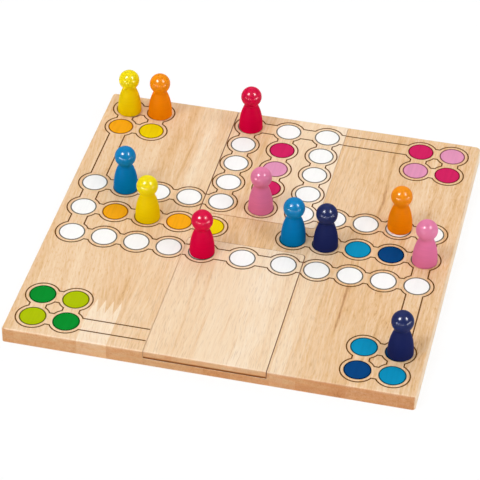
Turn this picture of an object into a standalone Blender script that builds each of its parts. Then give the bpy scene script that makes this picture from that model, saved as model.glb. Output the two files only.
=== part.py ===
"""Ludo board game: a solid wood board, two reversible inserts and twelve turned pawns.

The board is one thick panel with two routed recesses, open at its front and
back edges. An insert lies in each recess, and turning it over changes the
printed track. The pawns are turned from round stock, with a ball head, a
waisted neck and a bell body, and stand on the printed fields.

Lengths are in metres, +Z is up, and the origin is on the underside of the
board, at the middle of its outline. +Y points to the back edge.
"""

import math

import bmesh
import bpy
from mathutils import Vector

# Printed layout: eleven columns and eleven rows of fields, in the shape of a cross
FIELD_PITCH = 0.020
LANE_PITCH = 0.025
LAYOUT_OFFSET_X = -0.0008
MIDDLE_LANE = 5

# Board
BOARD_WIDTH = 0.2404
BOARD_DEPTH = 0.239
BOARD_THICKNESS = 0.0102
BOARD_CORNER_RADIUS = 0.0020
BOARD_EDGE_RADIUS = 0.0013
BOARD_CORNER_STEPS = 4
BOARD_EDGE_STEPS = 3

# Recesses, routed into the top from the front and back edges
RECESS_WIDTH = 0.0720
RECESS_DEPTH = 0.0051
RECESS_CORNER_RADIUS = 0.0026
RECESS_CORNER_STEPS = 6
RIM_RADIUS = 0.0003
RIM_STEPS = 1
BRIDGE_WIDTH = 0.0254
CUT_OVERRUN = 0.004

# Inserts
INSERT_THICKNESS = 0.0050
INSERT_SIDE_CLEARANCE = 0.0003
INSERT_CORNER_RADIUS = 0.0022
INSERT_EDGE_RADIUS = 0.0003
INSERT_EDGE_STEPS = 1
INSERT_END_RADIUS = 0.0011
INSERT_END_STEPS = 3
SEAT_GAP = 0.0003

# Pawns
PAWN_BASE_RADIUS = 0.00755
PAWN_BASE_ROUNDING = 0.0006
PAWN_NECK_RADIUS = 0.0043
PAWN_NECK_HEIGHT = 0.0173
PAWN_BALL_RADIUS = 0.00650
PAWN_HEIGHT = 0.0302
PAWN_BELL_POWER = 2.4
PAWN_SEGMENTS = 24
BELL_STEPS = 6
BALL_STEPS = 8

# Edges that turn by more than this are eased
SHARP_ANGLE = math.radians(50)
MERGE_DISTANCE = 0.00001

# Finish of each piece: colour, roughness
BOARD_WOOD = ((0.80, 0.58, 0.35), 0.55)
INSERT_WOOD = ((0.86, 0.66, 0.43), 0.55)
PAINTS = {
    "yellow": ((0.80, 0.60, 0.01), 0.25),
    "orange": ((0.85, 0.21, 0.01), 0.25),
    "light_blue": ((0.00, 0.23, 0.50), 0.25),
    "dark_blue": ((0.015, 0.02, 0.14), 0.25),
    "crimson": ((0.66, 0.00, 0.04), 0.25),
    "pink": ((0.72, 0.12, 0.30), 0.25),
}

# Each pawn: name, paint, column and row of its field, counted from the back left,
# what it stands on, and how far it stands from the middle of the field
PAWN_NUDGE = 0.0005
PAWNS = [
    ("pawn_yellow_1", "yellow", 0, 0, "board", (2, -4)),
    ("pawn_orange_1", "orange", 1, 0, "board", (2, -2)),
    ("pawn_light_blue_1", "light_blue", 1, 4, "board", (0, -1)),
    ("pawn_yellow_2", "yellow", 2, 5, "board", (1, -1)),
    ("pawn_crimson_1", "crimson", 4, 6, "front_insert", (1, 0)),
    ("pawn_crimson_2", "crimson", 4, 0, "back_insert", (1, -2)),
    ("pawn_pink_1", "pink", 5, 4, "back_insert", (0, -2)),
    ("pawn_light_blue_2", "light_blue", 6, 5, "board", (1, 0)),
    ("pawn_dark_blue_1", "dark_blue", 7, 5, "board", (1, -2)),
    ("pawn_orange_2", "orange", 9, 4, "board", (1, 3)),
    ("pawn_pink_2", "pink", 10, 5, "board", (1, -3)),
    ("pawn_dark_blue_2", "dark_blue", 10, 9, "board", (2, -1)),
]

RECESS_FLOOR = BOARD_THICKNESS - RECESS_DEPTH
INSERT_BOTTOM = RECESS_FLOOR + SEAT_GAP
INSERT_TOP = INSERT_BOTTOM + INSERT_THICKNESS
INSERT_WIDTH = RECESS_WIDTH - 2 * INSERT_SIDE_CLEARANCE
PAWN_BALL_CENTRE = PAWN_HEIGHT - PAWN_BALL_RADIUS


def clear_scene():
    """Remove whatever the scene already holds."""
    for obj in list(bpy.data.objects):
        bpy.data.objects.remove(obj, do_unlink=True)


def make_material(name, finish):
    """A Principled material with a colour and a roughness."""
    colour, roughness = finish
    material = bpy.data.materials.new(name)
    material.use_nodes = True
    shader = material.node_tree.nodes["Principled BSDF"]
    shader.inputs["Base Color"].default_value = (*colour, 1)
    shader.inputs["Roughness"].default_value = roughness
    shader.inputs["Metallic"].default_value = 0
    return material


def lane_position(index):
    """Distance of a column or row of fields from the middle lane."""
    steps = index - MIDDLE_LANE
    if steps == 0:
        return 0.0
    return math.copysign(LANE_PITCH + (abs(steps) - 1) * FIELD_PITCH, steps)


def field_centre(column, row):
    """Centre of a printed field on the board, seen from above."""
    return LAYOUT_OFFSET_X + lane_position(column), -lane_position(row)


def rounded_rectangle(width, depth, radii, steps):
    """Outline of a rectangle about the origin, with a radius for each corner.

    The corners run counter-clockwise from the one at low X and low Y.
    A radius of zero leaves a sharp corner.
    """
    outline = []
    signs = ((-1, -1), (1, -1), (1, 1), (-1, 1))
    for corner, ((sign_x, sign_y), radius) in enumerate(zip(signs, radii)):
        centre = Vector((sign_x * (width / 2 - radius), sign_y * (depth / 2 - radius)))
        if radius == 0:
            outline.append(centre)
            continue
        start = math.pi + corner * math.pi / 2
        for step in range(steps + 1):
            angle = start + step / steps * math.pi / 2
            outline.append(centre + radius * Vector((math.cos(angle), math.sin(angle))))
    return outline


def slab(name, outline, bottom, top):
    """A closed solid: the outline extruded from one height to another."""
    mesh = bpy.data.meshes.new(name)
    bm = bmesh.new()
    verts = [bm.verts.new((point.x, point.y, bottom)) for point in outline]
    base = bm.faces.new(verts)
    extruded = bmesh.ops.extrude_face_region(bm, geom=[base])
    raised = [item for item in extruded["geom"] if isinstance(item, bmesh.types.BMVert)]
    bmesh.ops.translate(bm, verts=raised, vec=(0, 0, top - bottom))
    bmesh.ops.recalc_face_normals(bm, faces=bm.faces)
    bm.to_mesh(mesh)
    bm.free()
    obj = bpy.data.objects.new(name, mesh)
    bpy.context.collection.objects.link(obj)
    return obj


def ease_edges(obj, name, radius, steps, marked=False):
    """Round every sharp edge of a piece, as sanding does, or only its marked edges."""
    bevel = obj.modifiers.new(name, "BEVEL")
    bevel.width = radius
    bevel.segments = steps
    bevel.limit_method = "WEIGHT" if marked else "ANGLE"
    bevel.angle_limit = SHARP_ANGLE


def mark_end(obj, end):
    """Mark the top and bottom edge of a slab at one end along Y."""
    weights = obj.data.attributes.new("bevel_weight_edge", "FLOAT", "EDGE")
    for edge, weight in zip(obj.data.edges, weights.data):
        first, second = (obj.data.vertices[index].co for index in edge.vertices)
        level = abs(first.z - second.z) < MERGE_DISTANCE
        at_end = all(abs(point.y - end) < MERGE_DISTANCE for point in (first, second))
        weight.value = float(level and at_end)


def cut_away(obj, cutter):
    """Subtract a cutter and keep it only as a wire guide."""
    boolean = obj.modifiers.new(cutter.name, "BOOLEAN")
    boolean.operation = "DIFFERENCE"
    boolean.solver = "EXACT"
    boolean.object = cutter
    cutter.hide_render = True
    cutter.display_type = "WIRE"


def recess_side(side):
    """Depth and middle, along Y, of the recess on one side: -1 front, 1 back."""
    inner_end = BRIDGE_WIDTH / 2
    length = BOARD_DEPTH / 2 - inner_end
    return length, side * (inner_end + length / 2)


def make_recess_cutter(side, name):
    """The router's path: rounded at its inner corners, open at the board's edge."""
    length, middle = recess_side(side)
    inner = RECESS_CORNER_RADIUS
    radii = (0, 0, inner, inner) if side < 0 else (inner, inner, 0, 0)
    outline = rounded_rectangle(RECESS_WIDTH, length + CUT_OVERRUN, radii, RECESS_CORNER_STEPS)
    shift = Vector((LAYOUT_OFFSET_X, middle + side * CUT_OVERRUN / 2))
    outline = [point + shift for point in outline]
    return slab(name, outline, RECESS_FLOOR, BOARD_THICKNESS + CUT_OVERRUN)


def make_board():
    """The panel: rounded outline with eased edges, then two open recesses with fine rims."""
    radii = (BOARD_CORNER_RADIUS,) * 4
    outline = rounded_rectangle(BOARD_WIDTH, BOARD_DEPTH, radii, BOARD_CORNER_STEPS)
    board = slab("board", outline, 0, BOARD_THICKNESS)
    ease_edges(board, "outer_edges", BOARD_EDGE_RADIUS, BOARD_EDGE_STEPS)
    cut_away(board, make_recess_cutter(-1, "front_recess"))
    cut_away(board, make_recess_cutter(1, "back_recess"))
    ease_edges(board, "recess_rims", RIM_RADIUS, RIM_STEPS)
    board.data.materials.append(make_material("board_wood", BOARD_WOOD))
    return board


def make_insert(side, name, material):
    """A loose panel that fills a recess: rounded inner corners, well eased open end."""
    recess_length, _ = recess_side(side)
    length = recess_length - INSERT_SIDE_CLEARANCE
    middle = side * (BOARD_DEPTH / 2 - length / 2)
    inner = INSERT_CORNER_RADIUS
    radii = (0, 0, inner, inner) if side < 0 else (inner, inner, 0, 0)
    outline = rounded_rectangle(INSERT_WIDTH, length, radii, RECESS_CORNER_STEPS)
    insert = slab(name, outline, 0, INSERT_THICKNESS)
    insert.location = (LAYOUT_OFFSET_X, middle, INSERT_BOTTOM)
    mark_end(insert, side * length / 2)
    ease_edges(insert, "open_end", INSERT_END_RADIUS, INSERT_END_STEPS, marked=True)
    ease_edges(insert, "eased_edges", INSERT_EDGE_RADIUS, INSERT_EDGE_STEPS)
    insert.data.materials.append(material)
    return insert


def pawn_profile():
    """Half outline of a pawn, from the top of its head down to the axis at its base."""
    sink = math.asin(PAWN_NECK_RADIUS / PAWN_BALL_RADIUS)
    points = []
    for step in range(BALL_STEPS + 1):
        angle = step / BALL_STEPS * (math.pi - sink)
        radius = PAWN_BALL_RADIUS * math.sin(angle)
        points.append((radius, PAWN_BALL_CENTRE + PAWN_BALL_RADIUS * math.cos(angle)))
    flare = PAWN_BASE_RADIUS - PAWN_NECK_RADIUS
    for step in range(BELL_STEPS + 1):
        height = PAWN_NECK_HEIGHT + step / BELL_STEPS * (PAWN_BASE_ROUNDING - PAWN_NECK_HEIGHT)
        share = height / PAWN_NECK_HEIGHT
        points.append((PAWN_BASE_RADIUS - flare * share ** PAWN_BELL_POWER, height))
    points.append((PAWN_BASE_RADIUS - PAWN_BASE_ROUNDING, 0))
    points.append((0, 0))
    return points


def make_pawn_mesh():
    """The half outline as an edge chain, to be turned about the pawn's own axis."""
    mesh = bpy.data.meshes.new("pawn_profile")
    bm = bmesh.new()
    verts = [bm.verts.new((radius, 0, height)) for radius, height in pawn_profile()]
    for upper, lower in zip(verts, verts[1:]):
        bm.edges.new((upper, lower))
    bm.to_mesh(mesh)
    bm.free()
    return mesh


def make_pawn(name, profile, paint, place):
    """One pawn: the profile turned by a Screw modifier, standing at a place."""
    pawn = bpy.data.objects.new(name, profile.copy())
    bpy.context.collection.objects.link(pawn)
    turning = pawn.modifiers.new("turning", "SCREW")
    turning.axis = "Z"
    turning.angle = 2 * math.pi
    turning.screw_offset = 0
    turning.steps = PAWN_SEGMENTS
    turning.render_steps = PAWN_SEGMENTS
    turning.use_merge_vertices = True
    turning.merge_threshold = MERGE_DISTANCE
    turning.use_smooth_shade = True
    pawn.data.materials.append(paint)
    pawn.location = place
    return pawn


def make_pawns():
    """Every pawn of the set, standing on its field."""
    paints = {name: make_material("paint_" + name, finish) for name, finish in PAINTS.items()}
    stands = {"board": BOARD_THICKNESS, "front_insert": INSERT_TOP, "back_insert": INSERT_TOP}
    profile = make_pawn_mesh()
    for name, paint, column, row, stand, nudge in PAWNS:
        x, y = field_centre(column, row)
        place = (x + nudge[0] * PAWN_NUDGE, y + nudge[1] * PAWN_NUDGE, stands[stand] + SEAT_GAP)
        make_pawn(name, profile, paints[paint], place)
    bpy.data.meshes.remove(profile)


def main():
    """Model the whole set."""
    clear_scene()
    make_board()
    insert_wood = make_material("insert_wood", INSERT_WOOD)
    make_insert(-1, "front_insert", insert_wood)
    make_insert(1, "back_insert", insert_wood)
    make_pawns()


main()
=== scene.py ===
"""Looks of a wooden ludo board game, laid out as an add-on.

The board and its two loose inserts are finger-jointed rubberwood under thin
varnish. The track, the home columns and the homes are printed on them in ink
that stands a little proud. The pawns are turned wood under glossy paint.

Lengths are in metres, +Z is up, and +Y points to the back edge of the board.
"""

import math

import bmesh
import bpy
from bpy.props import FloatProperty, FloatVectorProperty, IntProperty, PointerProperty
from mathutils import Matrix, Vector


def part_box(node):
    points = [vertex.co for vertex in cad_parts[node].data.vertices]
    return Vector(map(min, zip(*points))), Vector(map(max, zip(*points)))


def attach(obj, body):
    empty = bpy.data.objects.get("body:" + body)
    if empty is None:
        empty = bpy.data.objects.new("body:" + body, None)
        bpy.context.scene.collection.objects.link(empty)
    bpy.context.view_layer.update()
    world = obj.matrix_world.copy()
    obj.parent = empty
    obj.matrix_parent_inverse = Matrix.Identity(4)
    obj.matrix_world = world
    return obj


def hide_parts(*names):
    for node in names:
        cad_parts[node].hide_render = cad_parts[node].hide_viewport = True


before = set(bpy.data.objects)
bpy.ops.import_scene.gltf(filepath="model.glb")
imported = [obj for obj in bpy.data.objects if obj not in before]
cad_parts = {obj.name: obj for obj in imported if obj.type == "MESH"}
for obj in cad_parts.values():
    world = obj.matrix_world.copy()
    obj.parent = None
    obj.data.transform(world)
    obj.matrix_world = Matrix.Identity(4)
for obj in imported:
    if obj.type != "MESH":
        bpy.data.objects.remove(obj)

bl_info = {
    "name": "Ludo Board Finishes",
    "version": (1, 0, 0),
    "blender": (4, 5, 0),
    "location": "View3D > Sidebar > Ludo",
    "description": "Models and finishes the board, its inserts, the printed track and the pawns",
    "category": "Object",
}

BOARD_LOW, BOARD_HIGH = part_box("board")
FRONT_LOW, FRONT_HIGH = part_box("front_insert")
BACK_LOW, BACK_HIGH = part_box("back_insert")
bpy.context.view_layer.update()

# Fit of the inserts in their recesses, and how far each lies from the middle of its play
INSERT_CLEARANCE = 0.0003
INSERT_PUSH = {"front_insert": Vector((-0.00005, 0, 0)), "back_insert": Vector((0.00018, -0.00015, 0))}
SEAT_GAP = 0.0003
CUT_OVERRUN = 0.004
TINY = 0.00001

# Facets of the outline round a field, and how many of them lead from the middle of a
# link to the corner where its straight line starts
OUTLINE_FACETS = 72
MOUTH_FACETS = 6

# Thickness of a ring of ink in that of a disc
RING_PROUD = 1.4

# The print is centred on the inserts, and its lanes are counted from the back left
PRINT_MIDDLE_X = (FRONT_LOW.x + FRONT_HIGH.x) / 2
MIDDLE_LANE = 5
FIRST_ARM_LANE = 4
LAST_ARM_LANE = 6
ARM_REACH = 5

# Outward step of each arm, in columns and rows; the two inks of its column, outermost
# first; the back left field of the home beside it; the inks of the home, along one
# diagonal and the other; and the run from the home to the end of the arm
ARMS = {
    "left": ((-1, 0), ("orange", "yellow"), (0, 0), ("yellow", "orange"), ((0, 1), (0, 4))),
    "back": ((0, -1), ("magenta", "pink"), (9, 0), ("magenta", "pink"), ((9, 0), (6, 0))),
    "right": ((1, 0), ("dark_blue", "light_blue"), (9, 9), ("light_blue", "dark_blue"), ((10, 9), (10, 6))),
    "front": ((0, 1), ("green", "lime"), (0, 9), ("green", "lime"), ((1, 10), (4, 10))),
}

SMOOTH_ANGLE = math.radians(35)
SHARP_ANGLE = math.radians(60)
MILLIMETRES = 1000

# Facets of each rounding and of each round piece
CORNER_FACETS = 6
FOOT_FACETS = 3
EDGE_FACETS = 5
RECESS_FACETS = 8
RIM_FACETS = 2
FILLET_FACETS = 4
BODY_FACETS = 14
HEAD_FACETS = 25
DISC_FACETS = 64
FLOOR_FACETS = 96


def screen_colour(red, green, blue):
    """A colour as picked on a screen, 0 to 255, in the linear values that shaders use."""
    shares = [level / 255 for level in (red, green, blue)]
    return tuple(s / 12.92 if s <= 0.04045 else ((s + 0.055) / 1.055) ** 2.4 for s in shares)


def length_setting(name, description, default):
    """A length that the user can change."""
    return FloatProperty(
        name=name, description=description, default=default, min=0, unit="LENGTH", precision=5
    )


def colour_setting(name, description, default):
    """A colour that the user can change."""
    linear = screen_colour(*default)
    return FloatVectorProperty(
        name=name, description=description, default=linear, size=3, min=0, max=1, subtype="COLOR"
    )


def share_setting(name, description, default):
    """A share from none to all that the user can change."""
    return FloatProperty(
        name=name, description=description, default=default, min=0, max=1, subtype="FACTOR"
    )


def power_setting(name, description, default):
    """A strength of light that the user can change."""
    return FloatProperty(name=name, description=description, default=default, min=0)


class LudoWoodSettings(bpy.types.PropertyGroup):
    """Sizes and colours of the board and its inserts."""

    corner_radius: length_setting("Corner radius", "Radius of two of the board's upright corners", 0.0020)
    crisp_corner: length_setting("Crisp corner", "Radius of the board's front left corner", 0.0014)
    worn_corner: length_setting("Worn corner", "Radius of the board's back right corner", 0.0032)
    edge_radius: length_setting("Edge radius", "Rounding of the top edges", 0.0013)
    foot_radius: length_setting("Foot radius", "Rounding of the bottom edges", 0.0006)
    insert_edge: length_setting("Insert edge", "Rounding of the inserts' outer ends", 0.0011)
    rim_radius: length_setting("Rim radius", "Rounding of the recess rims and of the inserts' sides", 0.0002)
    recess_corner: length_setting("Recess corner", "Radius of the recesses' inner corners", 0.0023)
    insert_corner: length_setting("Insert corner", "Radius of the inserts' inner corners", 0.0022)
    pale: colour_setting("Pale wood", "Palest wood, as in young staves", (248, 226, 198))
    light: colour_setting("Light wood", "Wood between pale and middle", (241, 211, 174))
    middle: colour_setting("Middle wood", "Most of the wood", (236, 200, 158))
    brown: colour_setting("Brown wood", "Wood of the browner staves", (227, 181, 127))
    dark: colour_setting("Dark wood", "Core of the darkest streaks", (190, 130, 80))
    pore: colour_setting("Pores", "Open pores along the grain", (160, 104, 62))
    end_grain: colour_setting("End grain", "Tint of the sawn ends of the staves", (226, 205, 182))
    red_heart: colour_setting("Red end grain", "Redder patches on the sawn ends", (220, 184, 156))
    # Painted shade on the routed walls of the joints, standing for the shade in the gaps between insert and
    # board
    joint_wall_shade: colour_setting("Routed walls", "Tint of the cutter's marks in the open joints", (174, 106, 48))
    # Painted shade in the groove under the outer end of an insert
    groove_shade_tint: colour_setting("Groove", "Colour in the groove under the outer end of an insert", (160, 92, 20))
    roughness: share_setting("Roughness", "Roughness of the wood", 0.6)
    varnish: share_setting("Varnish", "Weight of the varnish", 0.15)


class LudoPrintSettings(bpy.types.PropertyGroup):
    """Sizes and colours of the printed track."""

    field_pitch: length_setting("Field pitch", "Distance between neighbouring fields", 0.020)
    lane_pitch: length_setting("Lane pitch", "Distance from the middle lane to the lanes beside it", 0.025)
    disc_radius: length_setting("Disc radius", "Radius of the ink in a field", 0.0074)
    ring_radius: length_setting("Ring radius", "Middle of the line round a field", 0.00758)
    ring_width: length_setting("Ring width", "Width of the line round a field", 0.00080)
    outline_radius: length_setting("Outline radius", "Radius of the outline round a field", 0.0100)
    line_width: length_setting("Line width", "Width of the outline's line", 0.00085)
    ink_thickness: length_setting("Ink thickness", "How far the ink stands proud of the wood", 0.00005)
    stem_stop: length_setting("Stem stop", "Bare wood between a run of lines and the front recess", 0.0005)
    white: colour_setting("White ink", "Ink of the track", (254, 253, 251))
    orange: colour_setting("Orange ink", "Left home", (248, 171, 20))
    yellow: colour_setting("Yellow ink", "Left home", (242, 212, 0))
    magenta: colour_setting("Magenta ink", "Back home", (213, 34, 98))
    pink: colour_setting("Pink ink", "Back home", (230, 152, 188))
    light_blue: colour_setting("Light blue ink", "Right home", (6, 146, 192))
    dark_blue: colour_setting("Dark blue ink", "Right home", (0, 68, 130))
    green: colour_setting("Green ink", "Front home", (0, 143, 44))
    lime: colour_setting("Lime ink", "Front home", (176, 194, 0))
    line: colour_setting("Line ink", "Outlines and rings", (110, 64, 8))
    soft_line: colour_setting("Soft line ink", "Rings round the white fields", (104, 94, 84))
    ring_tint: colour_setting("Ring tint", "Tint of a line printed over a coloured field", (150, 125, 110))


class LudoPawnSettings(bpy.types.PropertyGroup):
    """Shape and colours of the pawns."""

    base_rounding: length_setting("Base rounding", "Rounding of the foot", 0.0006)
    neck_radius: length_setting("Neck radius", "Radius of the waist under the head", 0.0043)
    neck_height: length_setting("Neck height", "Height at which the body meets the neck", 0.0173)
    neck_fillet: length_setting("Neck fillet", "Width of the hollow between neck, head and body", 0.0009)
    head_radius: length_setting("Head radius", "Radius of the ball", 0.0065)
    bell_power: FloatProperty(name="Bell power", description="How late the body flares", default=2.4, min=1)
    segments: IntProperty(name="Segments", description="Facets round a pawn", default=64, min=12)
    yellow: colour_setting("Yellow paint", "Colour of the yellow pawns", (244, 210, 0))
    orange: colour_setting("Orange paint", "Colour of the orange pawns", (248, 138, 0))
    light_blue: colour_setting("Light blue paint", "Colour of the light blue pawns", (0, 122, 188))
    dark_blue: colour_setting("Dark blue paint", "Colour of the dark blue pawns", (28, 37, 90))
    crimson: colour_setting("Crimson paint", "Colour of the crimson pawns", (219, 0, 64))
    pink: colour_setting("Pink paint", "Colour of the pink pawns", (230, 120, 164))
    roughness: share_setting("Roughness", "Roughness of the paint", 0.35)
    gloss: share_setting("Gloss", "Weight of the clear coat on the head", 0.22)


class LudoStageSettings(bpy.types.PropertyGroup):
    """Floor, lamps and camera."""

    floor: colour_setting("Floor", "Colour of the floor", (254, 254, 254))
    floor_glow: share_setting("Floor glow", "How much of the seen floor is plain white", 0.85)
    floor_radius: length_setting("Floor radius", "Reach of the floor round the board", 6.0)
    sky: power_setting("Sky", "Strength of the even light from all round", 0.49)
    key: power_setting("Key lamp", "Watts of the lamp at the left", 23.0)
    fill: power_setting("Fill lamp", "Watts of the lamp at the right", 13.0)
    top: power_setting("Top lamp", "Watts of the wide soft box overhead", 12.0)
    back: power_setting("Back lamp", "Watts of the wide pale wall behind", 14.0)
    key_glint: power_setting("Key glint", "Watts that the left lamp adds to reflections alone", 300.0)
    fill_glint: power_setting("Fill glint", "Watts that the right lamp adds to reflections alone", 220.0)
    low_glint: power_setting("Low glint", "Watts of the brightest low strips, in reflections alone", 120.0)
    lens: FloatProperty(
        name="Lens", description="Focal length in millimetres on a 36 mm frame", default=175.93, min=1
    )


class Wire:
    """A value in a material's graph. Arithmetic on it adds Math nodes."""

    def __init__(self, finish, socket):
        self.finish = finish
        self.socket = socket

    def maths(self, operation, first, second=0.0):
        """The result of one Math node."""
        return self.finish.add("ShaderNodeMath", {"operation": operation}, {0: first, 1: second})

    def __add__(self, other):
        return self.maths("ADD", self, other)

    __radd__ = __add__

    def __sub__(self, other):
        return self.maths("SUBTRACT", self, other)

    def __rsub__(self, other):
        return self.maths("SUBTRACT", other, self)

    def __mul__(self, other):
        return self.maths("MULTIPLY", self, other)

    __rmul__ = __mul__

    def __truediv__(self, other):
        return self.maths("DIVIDE", self, other)

    def __rtruediv__(self, other):
        return self.maths("DIVIDE", other, self)

    def __gt__(self, other):
        return self.maths("GREATER_THAN", self, other)

    def __lt__(self, other):
        return self.maths("LESS_THAN", self, other)

    def __abs__(self):
        return self.maths("ABSOLUTE", self)

    def zigzag(self, reach):
        """Runs up to the reach and back to nothing, over and over."""
        return self.maths("PINGPONG", self, reach)

    def between(self, low, high):
        """Rises smoothly from 0 at low to 1 at high."""
        settings = {"interpolation_type": "SMOOTHSTEP"}
        inputs = {"Value": self, "From Min": low, "From Max": high}
        return self.finish.add("ShaderNodeMapRange", settings, inputs)


class Finish:
    """One material and its graph."""

    def __init__(self, name):
        self.material = bpy.data.materials.new(name)
        self.material.use_nodes = True
        self.tree = self.material.node_tree
        self.shader = self.tree.nodes["Principled BSDF"]

    def join(self, value, socket):
        """Link a wire to a socket, or set the socket to a constant."""
        if isinstance(value, Wire):
            self.tree.links.new(value.socket, socket)
        else:
            socket.default_value = value

    def add(self, kind, settings, inputs, output=0):
        """Add a node of a kind: its settings first, then its inputs."""
        node = self.tree.nodes.new(kind)
        for key, value in settings.items():
            if key == "stops":
                set_stops(node.color_ramp.elements, value)
            else:
                setattr(node, key, value)
        for key, value in inputs.items():
            self.join(value, node.inputs[key])
        return Wire(self, node.outputs[output])

    def surface(self, **values):
        """Set or link sockets of the surface shader, named in lower case with underscores."""
        for name, value in values.items():
            self.join(value, self.shader.inputs[name.replace("_", " ").title().replace("Ior", "IOR")])

    def place(self):
        """X, Y and Z on the piece, in millimetres."""
        place = self.add("ShaderNodeTexCoord", {}, {}, "Object")
        return [self.add("ShaderNodeSeparateXYZ", {}, {0: place}, axis) * MILLIMETRES for axis in "XYZ"]

    def light_path(self, kind):
        """1 for rays of a kind, else 0."""
        return self.add("ShaderNodeLightPath", {}, {}, kind)

    def facing(self, axis):
        """How far the surface faces along an axis."""
        normal = self.add("ShaderNodeTexCoord", {}, {}, "Normal")
        return self.add("ShaderNodeSeparateXYZ", {}, {0: normal}, axis)

    def layer(self, name, x, y, z, shift=0.0):
        """One of the layers of noise, at a place in millimetres."""
        across, along, deep, detail, roughness = LAYERS[name]
        vector = self.add("ShaderNodeCombineXYZ", {}, {0: x / across, 1: y / along, 2: z / deep + shift})
        inputs = {"Vector": vector, "Scale": 1.0, "Detail": detail, "Roughness": roughness}
        return self.add("ShaderNodeTexNoise", {}, inputs)

    def blend(self, share, first, second, mode="MIX"):
        """Two colours mixed by a share."""
        settings = {"data_type": "RGBA", "blend_type": mode}
        inputs = {0: share, 6: with_alpha(first), 7: with_alpha(second)}
        return self.add("ShaderNodeMix", settings, inputs, 2)

    def ramp(self, position, stops):
        """A colour picked from a ramp of stops, each a position and a colour."""
        return self.add("ShaderNodeValToRGB", {"stops": stops}, {0: position})

    def relief(self, height, depth):
        """Surface direction from a height between 0 and 1, with a depth in metres."""
        return self.add("ShaderNodeBump", {}, {"Strength": 1.0, "Distance": depth, "Height": height})


def set_stops(elements, stops):
    """Give a colour ramp its stops, each a position and a colour."""
    while len(elements) < len(stops):
        elements.new(1.0)
    for element, (position, colour) in zip(elements, stops):
        element.position = position
        element.color = with_alpha(colour)


def with_alpha(colour):
    """A wire as it is, or a colour with full alpha."""
    return colour if isinstance(colour, Wire) else (*colour, 1)


def scaled(colour, factors):
    """A colour with each channel times its factor, and no brighter than full."""
    return tuple(min(level * factor, 1.0) for level, factor in zip(colour, factors))


def stepped(position, steps):
    """A level that changes where the position passes each start in a list of (start, level)."""
    level = steps[0][1]
    for (_, before), (start, after) in zip(steps, steps[1:]):
        level = (position > start) * (after - before) + level
    return level


def streak_mask(x, y, streak):
    """One long streak: middle x, middle y, half width and half length in millimetres, and strength."""
    middle_x, middle_y, half_width, half_length, strength = streak
    across = (abs(x - middle_x)).between(half_width, 0)
    along = (abs(y - middle_y)).between(half_length, half_length * STREAK_CORE_SHARE)
    return across * along * strength


# Staves of each wooden piece, from the left: start, place of the finger joint along Y,
# tone behind the joint, tone before it, slant of the grain, share of short flecks over
# long needles, and contrast of the grain. Tones run from brown at 0 to pale at 1, and
# lengths are in millimetres
STAVES = {
    "board": [
        (-122, -300, 0.30, 0.30, 0.10, 0.9, 1.2),
        (-113, -300, 0.46, 0.46, 0.10, 1.0, 1.3),
        (-75.8, -87, 0.34, 0.92, 0.12, 0.7, 1.2),
        (-58.2, 30, 0.46, 0.42, 0.03, 0.4, 1.2),
        (-36.8, -300, 0.34, 0.34, 0.05, 0.5, 1.5),
        (-1.4, -300, 0.18, 0.18, 0.02, 0.3, 1.5),
        (14.4, -300, 0.38, 0.38, 0.00, 0.3, 1.3),
        (36.8, 4, 0.36, 0.72, 0.00, 0.2, 1.1),
        (44.4, 1, 0.34, 0.52, 0.01, 0.3, 1.1),
        (51.8, 8, 0.28, 0.26, 0.02, 0.6, 1.3),
        (80.5, -4, 0.34, 0.37, 0.00, 0.9, 1.7),
        (110, 2, 0.38, 0.29, 0.00, 0.9, 1.8),
    ],
    "front_insert": [
        (-40, -300, 0.68, 0.68, 0.02, 0.1, 0.9),
        (-8, -300, 0.76, 0.76, 0.02, 0.1, 0.55),
        (9, -300, 0.76, 0.76, 0.04, 0.1, 0.9),
    ],
    "back_insert": [
        (-40, 300, 0.44, 0.44, 0.02, 0.5, 1.2),
        (-11, 300, 0.48, 0.48, 0.02, 0.4, 1.1),
        (4, 300, 0.74, 0.74, 0.00, 0.3, 0.8),
        (28, 300, 1.04, 1.04, 0.00, 0.2, 0.6),
    ],
}

# Single streaks of each piece, dark where the strength is below zero and pale above it:
# middle x, middle y, half width and half length in millimetres, and strength
STREAKS = {
    "board": [
        (-56.8, 62, 1.8, 40, -0.50),
        (-50, 70, 6, 80, 0.32),
        (-63.8, 102, 4, 34, -0.28),
        (-69, 62, 5, 40, -0.16),
        (-61.5, -70, 2.4, 20, -0.40),
        (65.7, -54, 1.2, 36, -0.55),
        (66, -54, 6, 60, -0.16),
        (44.6, -50, 0.8, 22, -0.45),
        (48, -84, 1.8, 22, -0.30),
        (70, 46, 1.6, 22, -0.45),
        (69.5, 80, 2.2, 60, -0.25),
        (39.5, 60, 1.2, 60, -0.30),
        (46, 90, 1.4, 40, -0.25),
    ],
    "front_insert": [
        (-20, -60, 7, 120, -0.12),
        (18, -66, 9, 120, 0.16),
        (30, -66, 4, 110, -0.14),
        (-22.4, -54, 1.5, 34, -0.28),
        (-15.4, -62, 1.4, 46, -0.30),
        (-21.2, -100, 1.2, 30, -0.26),
        (-9.6, -95, 0.9, 18, -0.36),
        (4.6, -87, 0.9, 20, -0.28),
        (12.8, -105, 0.8, 18, -0.26),
    ],
    "back_insert": [(-12.8, 62, 1.7, 60, -0.26), (-18, 80, 2, 50, -0.18), (7, 30, 2.2, 22, -0.30)],
}
STREAK_CORE_SHARE = 0.3

# Fingers of the joints, and half of the width over which the tone changes there
FINGER_PITCH = 4.7
FINGER_SHIFT = 0.55
FINGER_LENGTH = 12.0
JOINT_BLUR = 0.5

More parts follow.
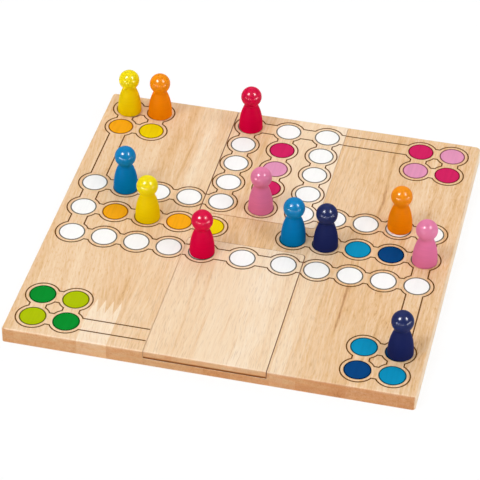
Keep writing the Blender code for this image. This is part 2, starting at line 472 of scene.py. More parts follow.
# Layers of noise: size of a feature along X, Y and Z in millimetres, detail and roughness
LAYERS = {
    "wander": (40, 60, 40, 2, 0.5),
    "ripple": (9, 22, 9, 2, 0.5),
    "clouds": (16, 50, 16, 2, 0.5),
    "bands": (4, 110, 4, 3, 0.6),
    "streaks": (1.5, 34, 1.5, 2, 0.6),
    "fibres": (0.7, 9, 0.7, 2, 0.65),
    "needles": (0.5, 7, 0.5, 1, 0.5),
    "flecks": (1.1, 4.5, 1.1, 2, 0.6),
    "rings": (14, 60, 1.8, 3, 0.6),
    "heart": (16, 60, 5, 1, 0.5),
    "ink_grain": (1.6, 26, 1.6, 3, 0.6),
    "ink_mesh": (0.25, 0.25, 0.25, 1, 0.5),
    "turning": (12, 12, 0.7, 2, 0.6),
    "flow": (7, 7, 9, 1, 0.5),
    "paper": (4, 4, 4, 2, 0.5),
}
NOISE_MIDDLE = 0.5

# Levels of a layer at which its marks start to show and show in full
SHOWN = {
    "needles": (0.52, 0.74),
    "flecks": (0.48, 0.76),
    "rings": (0.3, 0.75),
    "heart": (0.42, 0.66),
    "ink_grain": (0.40, 0.70),
    "turning": (0.35, 0.7),
    "paper": (0.3, 0.7),
}

# How squarely a face looks along an axis where its tint starts and where it is full
TURNED = {
    "sawn": (0.5, 0.9),
    "side_wall": (0.2, 0.7),
    "end_wall": (0.4, 0.8),
    "shaded_bed": (0.5, 0.9),
    "lit_flank": (0.4, 0.9),
    "shaded_lip": (0.05, 0.3),
}

# Step of the noise from stave to stave, and how far the grain sways, in millimetres
STAVE_SHIFT = 31.7
WANDER_REACH = 7
RIPPLE_REACH = 1.6
STREAK_REACH = 5

# Strength of the layers in the figure of the wood, and of its marks and tints
CLOUD_SHARE = 0.40
BAND_SHARE = 0.50
STREAK_SHARE = 0.60
FIBRE_SHARE = 0.60
FLECK_DEPTH = 0.42
NEEDLE_DEPTH = 0.30
RING_DEPTH = 0.55
HEART_DEPTH = 0.8
HEART_DRIFT = 500
# Share of painted light that pales the board's right side
LIT_FLANK_SHARE = 0.6

# Shades at the ends of the wood's colour ramp, and its stops from dark to pale
DARKEST_SHADE = -0.5
PALEST_SHADE = 1.0
RAMP_STOPS = (0.0, 0.33, 0.60, 0.78, 1.0)

# Places of the painted shade on the joint walls and in the grooves, in millimetres
WALL_REACH_X = 60
WALL_REACH_Y = 30
GROOVE_TOP = 7.0
GROOVE_INNER = 116
GROOVE_OUTER = 119.2
BED_TOP = 5.3
BED_BLUR = 0.2
LIP_BLUR = 0.4

# Millimetres over which the head's clear coat fades in, and the painted light that lifts the colour under
# it, standing for the brighter light on the head
GLOSS_FADE = 2
HEAD_PAINTED_LIGHT = (1.0, 1.13, 1.04)

# What is left of a colour where its coat is thin, and the depth of each relief in metres
INK_COVER = 0.93
WHITE_COVER = 0.97
PAINT_COVER = 0.96
PAPER_COVER = 0.99
WOOD_RELIEF = 0.00002
INK_RELIEF = 0.00001
PAINT_RELIEF = 0.000003


def wood_finish(name, piece, wood):
    """Rubberwood: staves with finger joints, long streaks, fine fibres, needles and flecks."""
    finish = Finish(name)
    x, y, z = place = finish.place()
    starts, *columns = zip(*STAVES[piece])
    number, joint, tone_behind, tone_before, slant, fleck_share, contrast = (
        stepped(x, list(zip(starts, levels))) for levels in (range(len(starts)), *columns)
    )
    fingers = ((x + FINGER_SHIFT).zigzag(FINGER_PITCH / 2) / (FINGER_PITCH / 2) - 0.5) * FINGER_LENGTH
    before = (joint + fingers - y).between(-JOINT_BLUR, JOINT_BLUR)
    tone = tone_behind + before * (tone_before - tone_behind)
    shift = (number + before / 2) * STAVE_SHIFT
    wander, ripple = (finish.layer(layer, *place) - NOISE_MIDDLE for layer in ("wander", "ripple"))
    grain = (x + wander * WANDER_REACH + ripple * RIPPLE_REACH + slant * y, y, z, shift)
    clouds = finish.layer("clouds", *place, shift) - NOISE_MIDDLE
    bands, streaks, fibres = (
        finish.layer(layer, *grain) - NOISE_MIDDLE for layer in ("bands", "streaks", "fibres")
    )
    needles, flecks = (
        finish.layer(layer, *grain).between(*SHOWN[layer]) for layer in ("needles", "flecks")
    )
    figure = clouds * CLOUD_SHARE + bands * BAND_SHARE + streaks * STREAK_SHARE + fibres * FIBRE_SHARE
    shade = tone + figure * contrast
    for streak in STREAKS[piece]:
        shade = shade + streak_mask(x + wander * STREAK_REACH, y, streak)
    shade = shade - flecks * fleck_share * FLECK_DEPTH
    tints = (wood.dark, wood.brown, wood.middle, wood.light, wood.pale)
    position = (shade - DARKEST_SHADE) / (PALEST_SHADE - DARKEST_SHADE)
    colour = finish.ramp(position, list(zip(RAMP_STOPS, tints)))
    colour = finish.blend(needles * (1 - fleck_share) * contrast * NEEDLE_DEPTH, colour, wood.pore)
    colour = end_grain(finish, place, shift, colour, wood)
    colour = painted_light_and_shade(finish, place, piece, colour, wood)
    finish.surface(
        base_color=colour,
        roughness=wood.roughness + fibres * 0.15 + needles * 0.1,
        specular_ior_level=0.15,
        coat_weight=wood.varnish,
        coat_roughness=0.3,
        normal=finish.relief(0.5 + fibres * 0.5 - needles * 0.4, WOOD_RELIEF),
    )
    return finish.material


def end_grain(finish, place, shift, colour, wood):
    """The colour of the wood, with year rings and redder patches on the sawn ends."""
    rings = finish.layer("rings", *place, shift).between(*SHOWN["rings"])
    heart = (finish.layer("heart", *place, shift) + place[0] / HEART_DRIFT).between(*SHOWN["heart"])
    tint = finish.blend(heart * HEART_DEPTH, wood.end_grain, wood.red_heart)
    tint = finish.blend(rings * RING_DEPTH, tint, wood.brown)
    sawn = abs(finish.facing("Y")).between(*TURNED["sawn"])
    return finish.blend(sawn, colour, finish.blend(1.0, colour, tint, "MULTIPLY"))


def painted_light_and_shade(finish, place, piece, colour, wood):
    """The colour of the wood with painted shade on the walls of the joints and in the grooves under the
    inserts' outer ends, and painted light on the board's right side.
    """
    x, y, z = place
    facing_y = abs(finish.facing("Y"))
    outward = 1 if piece == "board" else -1
    # Painted shade on the walls of the joints between the inserts and the board, standing for the shade in
    # the gaps
    side_walls = (finish.facing("X") * ((y > 0) * 2 - 1) * outward).between(*TURNED["side_wall"])
    end_walls = facing_y.between(*TURNED["end_wall"]) * (abs(y) < WALL_REACH_Y) * (y < 0)
    shaded_walls = side_walls * (abs(x) < WALL_REACH_X) + end_walls
    colour = finish.blend(shaded_walls, colour, finish.blend(1.0, colour, wood.joint_wall_shade, "MULTIPLY"))
    if piece == "board":
        # Painted shade on the outer end of the recess floor, under the insert's rounded end
        shaded_bed = (abs(y) > GROOVE_INNER) * (GROOVE_OUTER - abs(y)).between(0, BED_BLUR)
        groove_shade = shaded_bed * (abs(x) < WALL_REACH_X) * (z < BED_TOP) * finish.facing("Z").between(*TURNED["shaded_bed"])
        # Painted light: the board's right side is paled, as light falls on it from the right
        lit_flank = finish.facing("X").between(*TURNED["lit_flank"]) * (x > WALL_REACH_X)
        colour = finish.blend(lit_flank * LIT_FLANK_SHARE, colour, wood.pale)
    else:
        # Painted shade on the insert's rounded lower edge at its outer end, in the groove
        shaded_lip = facing_y.between(*TURNED["shaded_lip"]) * (abs(y) > WALL_REACH_Y)
        groove_shade = shaded_lip * (GROOVE_TOP - z).between(0, LIP_BLUR)
    return finish.blend(groove_shade, colour, wood.groove_shade_tint)


def ink_finish(name, colour, cover=INK_COVER):
    """Screen ink: the grain under it shows as faint darker lines where it doesn't cover."""
    finish = Finish(name)
    grain, mesh = (finish.layer(layer, *finish.place()) for layer in ("ink_grain", "ink_mesh"))
    deeper = scaled(colour, (cover,) * 3)
    finish.surface(
        base_color=finish.blend(grain.between(*SHOWN["ink_grain"]), colour, deeper),
        roughness=0.5 + mesh * 0.12,
        specular_ior_level=0.02,
        normal=finish.relief(grain * 0.6 + mesh * 0.4, INK_RELIEF),
    )
    return finish.material


def paint_finish(name, base, pawns):
    """Dipped paint over turned wood: glossy where it gathered on the head, satin on the body. The head's
    colour also has painted light on it, which makes it lighter.
    """
    finish = Finish(name)
    place = finish.place()
    turning, flow = (finish.layer(layer, *place) for layer in ("turning", "flow"))
    deeper = scaled(base, (PAINT_COVER,) * 3)
    shoulder = (BOARD_HIGH.z + pawns.neck_height) * MILLIMETRES
    head = place[2].between(shoulder, shoulder + GLOSS_FADE)
    colour = finish.blend(turning.between(*SHOWN["turning"]), base, deeper)
    finish.surface(
        # Painted light: the head's colour is made lighter, standing for the brighter light on it
        base_color=finish.blend(head, colour, scaled(base, HEAD_PAINTED_LIGHT)),
        roughness=pawns.roughness + flow * 0.1,
        specular_ior_level=0.01,
        coat_weight=head * pawns.gloss,
        coat_roughness=0.2,
        normal=finish.relief(turning * 0.3 + flow * 0.7, PAINT_RELIEF),
    )
    return finish.material


def select_only(*pieces):
    """Select these pieces and nothing else; the first becomes active."""
    bpy.ops.object.select_all(action="DESELECT")
    for piece in pieces:
        piece.select_set(True)
    bpy.context.view_layer.objects.active = pieces[0]


def take_new(name):
    """Name the piece that was just added, and put its place in its mesh."""
    piece = bpy.context.active_object
    piece.name = name
    piece.data.name = name
    select_only(piece)
    bpy.ops.object.transform_apply(location=True, rotation=True, scale=True)
    return piece


def edit(piece, choose, kind):
    """Open a piece in edit mode, with the faces, edges or verts selected that a test chooses."""
    select_only(piece)
    bpy.ops.object.mode_set(mode="EDIT")
    bpy.ops.mesh.select_mode(type={"faces": "FACE", "edges": "EDGE", "verts": "VERT"}[kind])
    bpy.ops.mesh.select_all(action="DESELECT")
    mesh = bmesh.from_edit_mesh(piece.data)
    for element in getattr(mesh, kind):
        element.select_set(choose(element))
    bmesh.update_edit_mesh(piece.data)


def close_edit():
    """Leave edit mode."""
    bpy.ops.object.mode_set(mode="OBJECT")


def apply_modifier(piece, kind, **settings):
    """Add a modifier to a piece and apply it."""
    select_only(piece)
    bpy.ops.object.modifier_add(type=kind)
    modifier = piece.modifiers[-1]
    for key, value in settings.items():
        setattr(modifier, key, value)
    bpy.ops.object.modifier_apply(modifier=modifier.name)


def add_block(name, low, high):
    """A block between two corners."""
    middle = (Vector(low) + Vector(high)) / 2
    size = Vector(high) - Vector(low)
    bpy.ops.mesh.primitive_cube_add(size=1, location=middle, scale=size)
    return take_new(name)


def add_pillar(name, radius, low, high, segments):
    """An upright cylinder on the Z axis."""
    middle = (0, 0, (low + high) / 2)
    bpy.ops.mesh.primitive_cylinder_add(vertices=segments, radius=radius, depth=high - low, location=middle)
    return take_new(name)


def bevel(piece, choose, width, segments):
    """Round the edges that a test chooses."""
    edit(piece, choose, "edges")
    bpy.ops.mesh.bevel(offset=width, segments=segments, profile=0.5, affect="EDGES")
    close_edit()


def upright(edge):
    """Whether an edge stands upright."""
    first, second = (vert.co for vert in edge.verts)
    return (first - second).xy.length < TINY


def level_at(edge, level):
    """Whether an edge lies level at a height."""
    return all(abs(vert.co.z - level) < TINY for vert in edge.verts)


def sharp_ridge(edge):
    """Whether an edge is an outer edge that turns sharply."""
    return len(edge.link_faces) == 2 and edge.calc_face_angle_signed() > SHARP_ANGLE


def combine(piece, tool, operation):
    """Boolean a piece with a tool, which is then thrown away."""
    apply_modifier(piece, "BOOLEAN", operation=operation, object=tool, solver="EXACT")
    bpy.data.objects.remove(tool, do_unlink=True)


def smooth(piece):
    """Shade rounded edges smooth and keep large faces flat."""
    select_only(piece)
    bpy.ops.object.shade_smooth_by_angle(angle=SMOOTH_ANGLE)
    apply_modifier(piece, "WEIGHTED_NORMAL", keep_sharp=True)


def dress(piece, material, body, *nodes):
    """Give a piece its finish and its body, and let it stand for CAD nodes."""
    piece.data.materials.clear()
    piece.data.materials.append(material)
    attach(piece, body)
    if nodes:
        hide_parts(*nodes)
    return piece


def copy_to(model, places):
    """Copies of a model, each with its own mesh, at a list of places."""
    copies = []
    for place in places:
        copy = model.copy()
        copy.data = model.data.copy()
        copy.data.transform(Matrix.Translation(place))
        bpy.context.collection.objects.link(copy)
        copies.append(copy)
    return copies


def join_as(name, pieces):
    """Several pieces joined into one."""
    select_only(*pieces)
    if len(pieces) > 1:
        bpy.ops.object.join()
    return take_new(name)


def recess_box(side):
    """Lowest and highest corner of a recess, with the cutter's overruns: -1 front, 1 back."""
    low, high = (FRONT_LOW, FRONT_HIGH) if side < 0 else (BACK_LOW, BACK_HIGH)
    inner = high.y + INSERT_CLEARANCE if side < 0 else low.y - INSERT_CLEARANCE
    outer = side * (BOARD_HIGH.y + CUT_OVERRUN)
    left = low.x - INSERT_CLEARANCE
    right = high.x + INSERT_CLEARANCE
    floor = low.z - SEAT_GAP
    top = BOARD_HIGH.z + CUT_OVERRUN
    return Vector((left, min(inner, outer), floor)), Vector((right, max(inner, outer), top))


def inner_corner(edge):
    """Whether an edge stands upright in the inner half of the board's depth."""
    return upright(edge) and abs(edge.verts[0].co.y) < BOARD_HIGH.y / 2


def board_corner(edge, way_x, way_y):
    """Whether an edge is the board's upright corner in a direction."""
    place = edge.verts[0].co
    there = place.x * way_x > 0 and place.y * way_y > 0
    return there and upright(edge) and abs(edge.calc_face_angle_signed() - math.pi / 2) < TINY


def insert_box(node):
    """Lowest and highest corner of an insert that is pushed against one side of its recess."""
    low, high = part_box(node)
    push = INSERT_PUSH[node]
    return low + push, high + push


class LUDO_OT_board(bpy.types.Operator):
    """Model the board, with its recesses open to the front and the back"""

    bl_idname = "ludo.board"
    bl_label = "Board"

    def execute(self, context):
        wood = context.scene.ludo_wood
        board = add_block("board_panel", BOARD_LOW, BOARD_HIGH)
        corners = (
            (-1, -1, wood.crisp_corner),
            (1, -1, wood.corner_radius),
            (-1, 1, wood.corner_radius),
            (1, 1, wood.worn_corner),
        )
        for way_x, way_y, radius in corners:
            bevel(board, lambda edge: board_corner(edge, way_x, way_y), radius, CORNER_FACETS)
        rims = ((BOARD_LOW.z, wood.foot_radius, FOOT_FACETS), (BOARD_HIGH.z, wood.edge_radius, EDGE_FACETS))
        for level, radius, facets in rims:
            bevel(board, lambda edge: sharp_ridge(edge) and level_at(edge, level), radius, facets)
        for side in (-1, 1):
            cutter = add_block("recess_cutter", *recess_box(side))
            bevel(cutter, inner_corner, wood.recess_corner, RECESS_FACETS)
            combine(board, cutter, "DIFFERENCE")
        bevel(board, sharp_ridge, wood.rim_radius, RIM_FACETS)
        smooth(board)
        dress(board, wood_finish("board_rubberwood", "board", wood), "board", "board")
        return {"FINISHED"}


class LUDO_OT_inserts(bpy.types.Operator):
    """Model the two loose inserts"""

    bl_idname = "ludo.inserts"
    bl_label = "Inserts"

    def execute(self, context):
        wood = context.scene.ludo_wood
        for node, side in (("front_insert", -1), ("back_insert", 1)):
            low, high = insert_box(node)
            insert = add_block(node + "_panel", low, high)
            outer = low.y if side < 0 else high.y
            bevel(insert, inner_corner, wood.insert_corner, RECESS_FACETS)
            bevel(
                insert,
                lambda edge: not upright(edge) and all(abs(vert.co.y - outer) < TINY for vert in edge.verts),
                wood.insert_edge,
                EDGE_FACETS,
            )
            bevel(insert, sharp_ridge, wood.rim_radius, RIM_FACETS)
            smooth(insert)
            dress(insert, wood_finish(node + "_rubberwood", node, wood), node, node)
        return {"FINISHED"}


def lane(index, prints):
    """Distance of a lane from the middle lane."""
    steps = index - MIDDLE_LANE
    if steps == 0:
        return 0.0
    return math.copysign(prints.lane_pitch + (abs(steps) - 1) * prints.field_pitch, steps)


def field_place(field, prints, height):
    """Centre of a field, given as a column and a row, at a height."""
    column, row = field
    return Vector((PRINT_MIDDLE_X + lane(column, prints), -lane(row, prints), height))


def on_arm(arm, reach, side):
    """Column and row of a field on an arm: how far out, and -1, 0 or 1 for the side."""
    across, along = ARMS[arm][0]
    return (
        MIDDLE_LANE + across * reach + abs(along) * side,
        MIDDLE_LANE + along * reach + abs(across) * side,
    )


def arm_fields(arm):
    """Ink of each field on an arm."""
    fields = {}
    for reach in range(1, ARM_REACH + 1):
        for side in (-1, 1):
            fields[on_arm(arm, reach, side)] = "white"
        fields[on_arm(arm, reach, 0)] = ARMS[arm][1][(ARM_REACH - 1 - reach) % 2]
    fields[on_arm(arm, ARM_REACH, 0)] = "white"
    return fields


def home_fields(arm):
    """Ink of each field of a home."""
    _, _, (column, row), inks, _ = ARMS[arm]
    return {(column + i, row + j): inks[(i + j) % 2] for i in (0, 1) for j in (0, 1)}


def plain_row(row):
    """The three fields that close the track where an arm is left out."""
    return {(column, row): "white" for column in range(FIRST_ARM_LANE, LAST_ARM_LANE + 1)}


def arm_runs(arm):
    """Straight runs of fields on an arm that the outline joins."""
    sides = [(on_arm(arm, 1, side), on_arm(arm, ARM_REACH, side)) for side in (-1, 0, 1)]
    return [*sides, (on_arm(arm, ARM_REACH, -1), on_arm(arm, ARM_REACH, 1))]


def home_runs(arm):
    """Straight runs of fields round a home that the outline joins."""
    column, row = ARMS[arm][2]
    rows = [((column, row + j), (column + 1, row + j)) for j in (0, 1)]
    columns = [((column + i, row), (column + i, row + 1)) for i in (0, 1)]
    return rows + columns


def carrier(field):
    """The wooden piece that carries a field when both inserts lie in their recesses."""
    column, row = field
    if not FIRST_ARM_LANE <= column <= LAST_ARM_LANE or row == MIDDLE_LANE:
        return "board"
    return "back_insert" if row < MIDDLE_LANE else "front_insert"


# The visible side shows three arms and a plain row in front. The undersides of the
# inserts hold the front arm and a plain row at the back, for when they are turned over
def shown_fields():
    """Ink of each field that faces up."""
    fields = {}
    for arm in ("left", "back", "right"):
        fields.update(arm_fields(arm))
    for arm in ARMS:
        fields.update(home_fields(arm))
    fields.update(plain_row(LAST_ARM_LANE))
    return fields


def shown_runs():
    """Runs of fields that face up."""
    runs = [((FIRST_ARM_LANE - 1, LAST_ARM_LANE), (LAST_ARM_LANE + 1, LAST_ARM_LANE))]
    for arm in ("left", "back", "right"):
        runs += arm_runs(arm) + [ARMS[arm][4]]
    for arm in ARMS:
        runs += home_runs(arm)
    return runs


def hidden_fields():
    """Ink of each field on the undersides of the inserts."""
    return {**arm_fields("front"), **plain_row(FIRST_ARM_LANE)}


def hidden_runs():
    """Runs of fields on the undersides of the inserts."""
    left, right = FIRST_ARM_LANE - 1, LAST_ARM_LANE + 1
    rows = [((left, row), (FIRST_ARM_LANE, row)) for row in (FIRST_ARM_LANE, LAST_ARM_LANE)]
    rows += [((LAST_ARM_LANE, row), (right, row)) for row in (FIRST_ARM_LANE, LAST_ARM_LANE)]
    rows += [((FIRST_ARM_LANE, FIRST_ARM_LANE), (LAST_ARM_LANE, FIRST_ARM_LANE))]
    return rows + arm_runs("front") + [ARMS["front"][4]]


def surfaces():
    """Printed faces: name, body, height of the wood, and 1 for upward or -1 for downward."""
    return [
        ("board", "board", BOARD_HIGH.z, 1),
        ("front_insert", "front_insert", FRONT_HIGH.z, 1),
        ("back_insert", "back_insert", BACK_HIGH.z, 1),
        ("front_insert_under", "front_insert", FRONT_LOW.z, -1),
        ("back_insert_under", "back_insert", BACK_LOW.z, -1),
    ]


def links_of(run, fields):
    """Pairs of neighbouring fields along a straight run, given by its first and last field."""
    (column, row), (last_column, last_row) = run
    steps = max(abs(last_column - column), abs(last_row - row))
    places = [
        (column + (last_column - column) * step // steps, row + (last_row - row) * step // steps)
        for step in range(steps + 1)
    ]
    members = [place for place in places if place in fields or place in (run[0], run[1])]
    return list(zip(members, members[1:]))


def in_bar(point, link, half_width):
    """Whether a point lies inside the bar between two field centres."""
    low = Vector(map(min, *link))
    high = Vector(map(max, *link))
    if high.x - low.x > high.y - low.y:
        return low.x < point.x < high.x and abs(point.y - low.y) < half_width - TINY
    return low.y < point.y < high.y and abs(point.x - low.x) < half_width - TINY


class LUDO_OT_fields(bpy.types.Operator):
    """Print the discs of the fields and the line round each"""

    bl_idname = "ludo.fields"
    bl_label = "Printed fields"

    def execute(self, context):
        prints = context.scene.ludo_print
        disc = self.model_disc(prints)
        ring = self.model_ring(prints)
        inks = {}
        for face, body, height, way in surfaces():
            fields = shown_fields() if way > 0 else hidden_fields()
            groups = {}
            for field, ink in fields.items():
                if carrier(field) != body:
                    continue
                groups.setdefault((disc, ink), []).append(field)
                groups.setdefault((ring, "ring_" + ink), []).append(field)
            for (model, ink), members in groups.items():
                layer = height if way > 0 else height - prints.ink_thickness
                places = [field_place(field, prints, layer) for field in members]
                kind = "discs" if model is disc else "rings"
                piece = join_as(f"{face}_{kind}_{ink.removeprefix('ring_')}", copy_to(model, places))
                if ink not in inks:
                    cover = WHITE_COVER if ink == "white" else INK_COVER
                    inks[ink] = ink_finish("ink_" + ink, self.ink_colour(ink, prints), cover)
                dress(piece, inks[ink], body)
        for model in (disc, ring):
            bpy.data.objects.remove(model, do_unlink=True)
        return {"FINISHED"}

    def ink_colour(self, ink, prints):
        """Colour of an ink, or of the line where it is printed over the edge of a field."""
        if ink == "ring_white":
            return prints.soft_line
        if ink.startswith("ring_"):
            return scaled(getattr(prints, ink.removeprefix("ring_")), prints.ring_tint)
        return getattr(prints, ink)

    def model_disc(self, prints):
        """A flat drop of ink with a soft edge."""
        disc = add_pillar("field_disc", prints.disc_radius, 0, prints.ink_thickness, DISC_FACETS)
        soft_edge = prints.ink_thickness / 2
        bevel(disc, lambda edge: sharp_ridge(edge) and edge.verts[0].co.z > 0, soft_edge, RIM_FACETS)
        return disc

    def model_ring(self, prints):
        """A narrow flat ring of ink on the edge of the disc."""
        inner = prints.ring_radius - prints.ring_width / 2
        bpy.ops.mesh.primitive_circle_add(vertices=DISC_FACETS, radius=inner, fill_type="NOTHING")
        ring = take_new("field_ring")
        edit(ring, lambda edge: True, "edges")
        bpy.ops.mesh.extrude_edges_move()
        growth = (inner + prints.ring_width) / inner
        bpy.ops.transform.resize(value=(growth, growth, 1))
        bpy.ops.mesh.select_all(action="SELECT")
        bpy.ops.mesh.normals_make_consistent(inside=False)
        close_edit()
        apply_modifier(ring, "SOLIDIFY", thickness=prints.ink_thickness * RING_PROUD, offset=0)
        lowest = min(vert.co.z for vert in ring.data.vertices)
        ring.data.transform(Matrix.Translation((0, 0, -lowest)))
        return ring


class LUDO_OT_outlines(bpy.types.Operator):
    """Print the outline that joins the fields into a track"""

    bl_idname = "ludo.outlines"
    bl_label = "Printed outlines"

    def execute(self, context):
        prints = context.scene.ludo_print
        line = ink_finish("ink_outline", prints.line)
        tracks = {
            1: self.model_track(shown_fields(), shown_runs(), True, prints),
            -1: self.model_track(hidden_fields(), hidden_runs(), False, prints),
        }
        for face, body, height, way in surfaces():
            level = height if way > 0 else height - prints.ink_thickness
            outline = join_as(face + "_outline", copy_to(tracks[way], [(0, 0, level)]))
            self.trim(outline, body)
            dress(outline, line, body)
        for track in tracks.values():
            bpy.data.objects.remove(track, do_unlink=True)
        return {"FINISHED"}

    def model_track(self, fields, runs, stem, prints):
        """The whole outline as a thin upright wall of ink, which runs on across every joint."""
        radius = prints.outline_radius
        bpy.ops.mesh.primitive_circle_add(vertices=OUTLINE_FACETS, radius=radius, fill_type="NOTHING")
        loop = take_new("outline_loop")
        places = [field_place(field, prints, 0) for field in fields]
        track = join_as("printed_track", copy_to(loop, places))
        bpy.data.objects.remove(loop, do_unlink=True)
        half_mouth = MOUTH_FACETS / OUTLINE_FACETS * 2 * math.pi
        mouth = Vector((math.cos(half_mouth), math.sin(half_mouth))) * radius
        pairs = [link for run in runs for link in links_of(run, fields)]
        links = [[field_place(field, prints, 0) for field in link] for link in pairs]
        stems = [self.open_stem(prints)] if stem else []
        edit(track, lambda vert: any(in_bar(vert.co, link, mouth.y) for link in links + stems), "verts")
        bpy.ops.mesh.delete(type="VERT")
        close_edit()
        for first, last in links:
            way = (last - first).normalized()
            self.pull_rails(track, first, way, mouth, (last - first).length - 2 * mouth.x)
        for first, last in stems:
            self.pull_rails(track, first, Vector((1, 0, 0)), mouth, (last - first).length - mouth.x)
        edit(track, lambda vert: True, "verts")
        bpy.ops.mesh.remove_doubles(threshold=TINY)
        bpy.ops.mesh.extrude_edges_move(TRANSFORM_OT_translate={"value": (0, 0, prints.ink_thickness)})
        bpy.ops.mesh.select_all(action="SELECT")
        bpy.ops.mesh.normals_make_consistent(inside=False)
        close_edit()
        apply_modifier(track, "SOLIDIFY", thickness=prints.line_width, offset=0, use_even_offset=True)
        return track

    def open_stem(self, prints):
        """The run that stops short of the front recess, as its field and its end."""
        first = field_place(ARMS["front"][4][0], prints, 0)
        return first, Vector((recess_box(-1)[0].x - prints.stem_stop, first.y, first.z))

    def pull_rails(self, track, first, way, mouth, length):
        """Draw the two lines of a link out of the mouth of its first field."""
        across = Vector((-way.y, way.x, 0)) * mouth.y
        corners = [first + way * mouth.x + across, first + way * mouth.x - across]
        edit(track, lambda vert: any((vert.co - corner).length < TINY for corner in corners), "verts")
        bpy.ops.mesh.extrude_vertices_move(TRANSFORM_OT_translate={"value": way * length})
        close_edit()

    def trim(self, outline, body):
        """Keep the part of the outline that lies on one wooden piece."""
        margin = bpy.context.scene.ludo_wood.rim_radius / 2
        inset = Vector((margin, margin, 0))
        reach = Vector((0, 0, CUT_OVERRUN))
        if body == "board":
            for side in (-1, 1):
                mask_low, mask_high = recess_box(side)
                mask = add_block("recess_mask", mask_low - inset, mask_high + inset)
                combine(outline, mask, "DIFFERENCE")
        else:
            low, high = insert_box(body)
            mask = add_block("insert_mask", low + inset - reach, high - inset + reach)
            combine(outline, mask, "INTERSECT")


class LUDO_OT_pawns(bpy.types.Operator):
    """Turn a pawn and stand a painted copy on each pawn's place"""

    bl_idname = "ludo.pawns"
    bl_label = "Pawns"

    def execute(self, context):
        pawns = context.scene.ludo_pawns
        nodes = sorted(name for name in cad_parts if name.startswith("pawn_"))
        low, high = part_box(nodes[0])
        model = self.model_pawn((high.x - low.x) / 2, high.z - low.z, pawns)
        paints = {}
        for node in nodes:
            low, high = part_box(node)
            foot = Vector(((low.x + high.x) / 2, (low.y + high.y) / 2, low.z))
            pawn = join_as(node + "_turned", copy_to(model, [foot]))
            paint = node.removeprefix("pawn_").rsplit("_", 1)[0]
            if paint not in paints:
                paints[paint] = paint_finish("paint_" + paint, getattr(pawns, paint), pawns)
            dress(pawn, paints[paint], node, node)
            paint + "_paint"
        bpy.data.objects.remove(model, do_unlink=True)
        return {"FINISHED"}

    def profile(self, foot_radius, height, pawns):
        """Radius and height of each ring, from the foot to the top of the head."""
        flare = foot_radius - pawns.neck_radius
        rings = []
        for step in range(1, BODY_FACETS + 1):
            share = step / BODY_FACETS
            rings.append((foot_radius - flare * share ** pawns.bell_power, share * pawns.neck_height))
        centre = height - pawns.head_radius
        start = math.asin(pawns.neck_radius / pawns.head_radius)
        for step in range(HEAD_FACETS):
            angle = math.pi - start - step / HEAD_FACETS * (math.pi - start)
            rings.append((pawns.head_radius * math.sin(angle), centre + pawns.head_radius * math.cos(angle)))
        return rings

    def model_pawn(self, foot_radius, height, pawns):
        """Draw up a disc ring by ring, close it at the top, and round foot and neck."""
        bpy.ops.mesh.primitive_circle_add(vertices=pawns.segments, radius=foot_radius, fill_type="NGON")
        pawn = take_new("turned_pawn")
        edit(pawn, lambda face: True, "faces")
        radius, level = foot_radius, 0.0
        for next_radius, next_level in self.profile(foot_radius, height, pawns):
            bpy.ops.mesh.extrude_region_move(TRANSFORM_OT_translate={"value": (0, 0, next_level - level)})
            bpy.ops.transform.resize(value=(next_radius / radius, next_radius / radius, 1))
            radius, level = next_radius, next_level
        bpy.ops.mesh.extrude_region_move(TRANSFORM_OT_translate={"value": (0, 0, height - level)})
        bpy.ops.mesh.merge(type="CENTER")
        bpy.ops.mesh.select_all(action="SELECT")
        bpy.ops.mesh.normals_make_consistent(inside=False)
        close_edit()
        bevel(pawn, lambda edge: level_at(edge, 0), pawns.base_rounding, FILLET_FACETS)
        neck_top = height - pawns.head_radius - math.sqrt(pawns.head_radius ** 2 - pawns.neck_radius ** 2)
        for level in (neck_top, pawns.neck_height):
            bevel(pawn, lambda edge: level_at(edge, level), pawns.neck_fillet, FILLET_FACETS)
        smooth(pawn)
        return pawn


# Lamps: direction from the board's middle as measured from the highlights in the
# photograph, size, turn and shape
LAMPS = {
    "key": (Vector((-0.40, -0.44, 0.80)), (1.00, 1.00), 0, "ELLIPSE"),
    "fill": (Vector((0.62, -0.16, 0.77)), (0.55, 1.15), math.radians(-35), "RECTANGLE"),
    "back": (Vector((-0.14, 0.67, 0.73)), (2.6, 1.4), 0, "RECTANGLE"),
    "top": (Vector((0, 0.05, 1)), (2.6, 2.6), 0, "RECTANGLE"),
}
LAMP_DISTANCE = 3.0

# Low strips that reflections alone see: direction and share of the power. Lamps for
# reflections hang at a share of the distance of the others
LOW_STRIPS = {
    "left": (Vector((-0.53, -0.85, 0.035)), 1.0),
    "middle": (Vector((0.21, -0.98, 0.035)), 0.35),
    "right": (Vector((0.96, -0.28, 0.035)), 1.0),
}
LOW_SIZE = (2.6, 0.16)
GLINT_SHARE = 0.97

# The camera's place from the middle of the print and its turn, as fitted to the fields
CAMERA_PLACE = (0.23231, -1.07398, 0.89355)
CAMERA_TURN = tuple(math.radians(angle) for angle in (51.021, -0.765, 13.187))


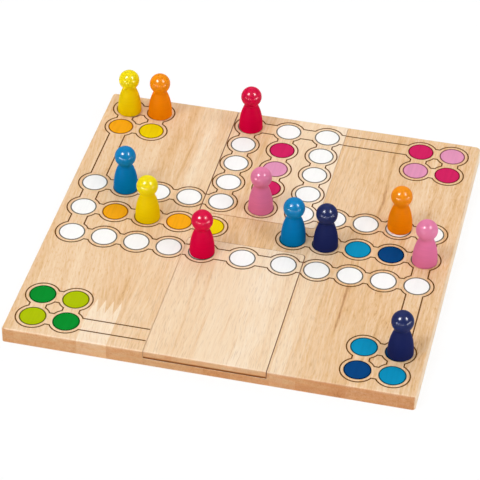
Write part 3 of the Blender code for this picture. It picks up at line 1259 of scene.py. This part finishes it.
class LUDO_OT_stage(bpy.types.Operator):
    """Set up the floor, the even sky, the soft lamps and the camera"""

    bl_idname = "ludo.stage"
    bl_label = "Stage"

    def execute(self, context):
        stage = context.scene.ludo_stage
        context.scene.view_settings.view_transform = "Standard"
        self.lay_floor(stage)
        self.light_sky(context.scene, stage)
        for name, fitting in LAMPS.items():
            self.hang_lamp(name + "_lamp", getattr(stage, name), *fitting)
        glints = [
            self.hang_lamp(name + "_glint", getattr(stage, name + "_glint"), *LAMPS[name])
            for name in ("key", "fill")
        ]
        for side, (direction, share) in LOW_STRIPS.items():
            fitting = (direction, LOW_SIZE, 0, "RECTANGLE")
            glints.append(self.hang_lamp("low_glint_" + side, stage.low_glint * share, *fitting))
        for lamp in glints:
            lamp.visible_diffuse = False
            lamp.location *= GLINT_SHARE
        self.set_camera(context.scene, stage)
        return {"FINISHED"}

    def lay_floor(self, stage):
        """A wide round floor whose edge rolls down out of sight."""
        radius = stage.floor_radius
        floor = add_pillar("floor", radius, -radius / 20, 0, FLOOR_FACETS)
        bevel(floor, sharp_ridge, radius / 60, CORNER_FACETS)
        smooth(floor)
        finish = Finish("floor_white")
        paper = finish.layer("paper", *finish.place()).between(*SHOWN["paper"])
        base = finish.blend(paper, stage.floor, scaled(stage.floor, (PAPER_COVER,) * 3))
        finish.surface(base_color=base, roughness=0.9)
        seen = finish.light_path("Is Camera Ray")
        seen = seen.maths("MAXIMUM", seen, finish.light_path("Is Glossy Ray"))
        seen = seen.maths("MAXIMUM", seen, finish.light_path("Is Transmission Ray"))
        glow = finish.add("ShaderNodeEmission", {}, {"Color": (1, 1, 1, 1), "Strength": 1.0})
        shader = Wire(finish, finish.shader.outputs[0])
        mixed = finish.add("ShaderNodeMixShader", {}, {0: seen * stage.floor_glow, 1: shader, 2: glow})
        finish.join(mixed, finish.tree.nodes["Material Output"].inputs["Surface"])
        floor.data.materials.append(finish.material)

    def light_sky(self, scene, stage):
        """An even grey light from all round."""
        sky = bpy.data.worlds.new("even_sky")
        scene.world = sky
        sky.use_nodes = True
        background = sky.node_tree.nodes["Background"]
        background.inputs["Color"].default_value = (1, 1, 1, 1)
        background.inputs["Strength"].default_value = stage.sky

    def hang_lamp(self, name, power, direction, size, turn, shape):
        """A soft lamp that looks at the middle of the board."""
        place = direction.normalized() * LAMP_DISTANCE
        bpy.ops.object.light_add(type="AREA", location=place)
        lamp = bpy.context.active_object
        lamp.name = name
        lamp.rotation_mode = "QUATERNION"
        aim = place.to_track_quat("Z", "Y")
        lamp.rotation_quaternion = aim @ Matrix.Rotation(turn, 3, "Z").to_quaternion()
        lamp.data.energy = power
        lamp.data.shape = shape
        lamp.data.size, lamp.data.size_y = size
        lamp.visible_camera = False
        return lamp

    def set_camera(self, scene, stage):
        """The photograph's camera."""
        place = Vector(CAMERA_PLACE) + Vector((PRINT_MIDDLE_X, 0, 0))
        bpy.ops.object.camera_add(location=place, rotation=CAMERA_TURN)
        camera = bpy.context.active_object
        camera.name = "camera"
        camera.data.lens = stage.lens
        scene.camera = camera


class LUDO_PT_sidebar(bpy.types.Panel):
    """Lists the steps and their settings in the sidebar"""

    bl_idname = "LUDO_PT_sidebar"
    bl_label = "Ludo board"
    bl_space_type = "VIEW_3D"
    bl_region_type = "UI"
    bl_category = "Ludo"

    def draw(self, context):
        for operator in OPERATORS:
            self.layout.operator(operator.bl_idname)
        for name in SETTINGS:
            box = self.layout.box()
            group = getattr(context.scene, name)
            for key in group.bl_rna.properties.keys():
                if key not in ("rna_type", "name"):
                    box.prop(group, key)


SETTINGS = {
    "ludo_wood": LudoWoodSettings,
    "ludo_print": LudoPrintSettings,
    "ludo_pawns": LudoPawnSettings,
    "ludo_stage": LudoStageSettings,
}
OPERATORS = (
    LUDO_OT_board, LUDO_OT_inserts, LUDO_OT_fields, LUDO_OT_outlines, LUDO_OT_pawns, LUDO_OT_stage
)
CLASSES = (*SETTINGS.values(), *OPERATORS, LUDO_PT_sidebar)


def register():
    """Register every class and hang the settings on the scene."""
    for kind in CLASSES:
        bpy.utils.register_class(kind)
    for name, kind in SETTINGS.items():
        setattr(bpy.types.Scene, name, PointerProperty(type=kind))


def unregister():
    """Take everything off again."""
    for name in SETTINGS:
        delattr(bpy.types.Scene, name)
    for kind in reversed(CLASSES):
        bpy.utils.unregister_class(kind)


def main():
    """Build every piece and the stage."""
    register()
    bpy.ops.ludo.board()
    bpy.ops.ludo.inserts()
    bpy.ops.ludo.fields()
    bpy.ops.ludo.outlines()
    bpy.ops.ludo.pawns()
    bpy.ops.ludo.stage()


if __name__ == "__main__":
    main()
